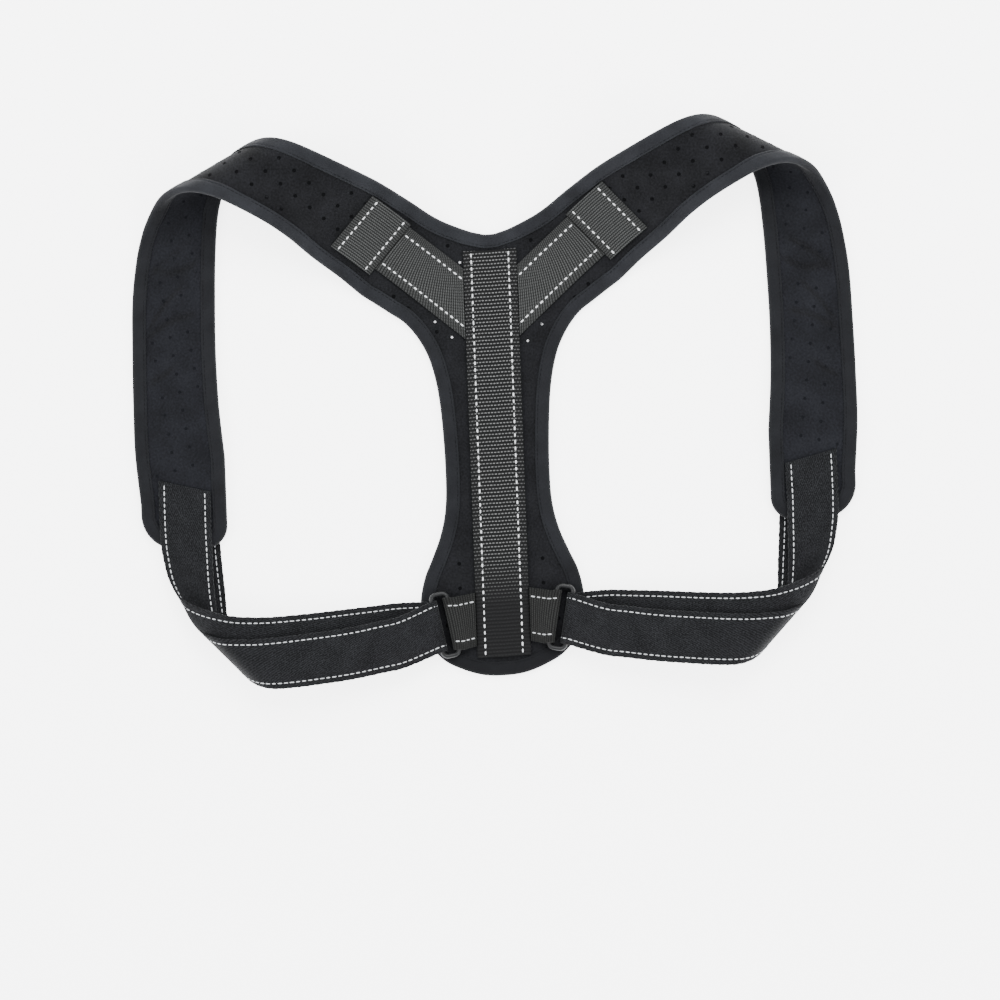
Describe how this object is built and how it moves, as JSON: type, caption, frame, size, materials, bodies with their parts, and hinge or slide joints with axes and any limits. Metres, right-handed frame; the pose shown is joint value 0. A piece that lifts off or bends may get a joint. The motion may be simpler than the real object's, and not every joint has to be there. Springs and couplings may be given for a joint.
{
  "type": "posture corrector",
  "caption": "Padded upper-back brace with rolled shoulder straps, bound edges, stitched webbing along the spine and adjusting straps held by rings.",
  "frame": {"origin": "middle of the footprint of the whole brace, on the floor that it lies on", "axes": "+X across the back towards the side on the right seen from above, +Y up the spine towards the neckline, +Z out of the outer face"},
  "size_m": [0.5204, 0.3966, 0.0507],
  "materials": {
    "foam": "matt knitted face on closed-cell foam, with small vent holes",
    "tape": "matt brushed edge tape",
    "spine_webbing": "ribbed woven webbing, grey flecks on black",
    "shoulder_webbing": "finely ribbed webbing with a soft sheen",
    "tab_webbing": "finely ribbed webbing",
    "moulding": "smooth moulded plastic with a soft gloss",
    "strap": "soft twill strap with a brushed face"
  },
  "bodies": {
    "root": {"padded_panel": "foam", "edge_binding": "tape", "spine_webbing": "spine_webbing", "diagonal_webbing_left": "shoulder_webbing", "cross_patch_left": "shoulder_webbing", "ring_tab_left": "tab_webbing", "ring_left": "moulding", "adjust_strap_left": "strap", "diagonal_webbing_right": "shoulder_webbing", "cross_patch_right": "shoulder_webbing", "ring_tab_right": "tab_webbing", "ring_right": "moulding", "adjust_strap_right": "strap"}
  },
  "joints": []
}
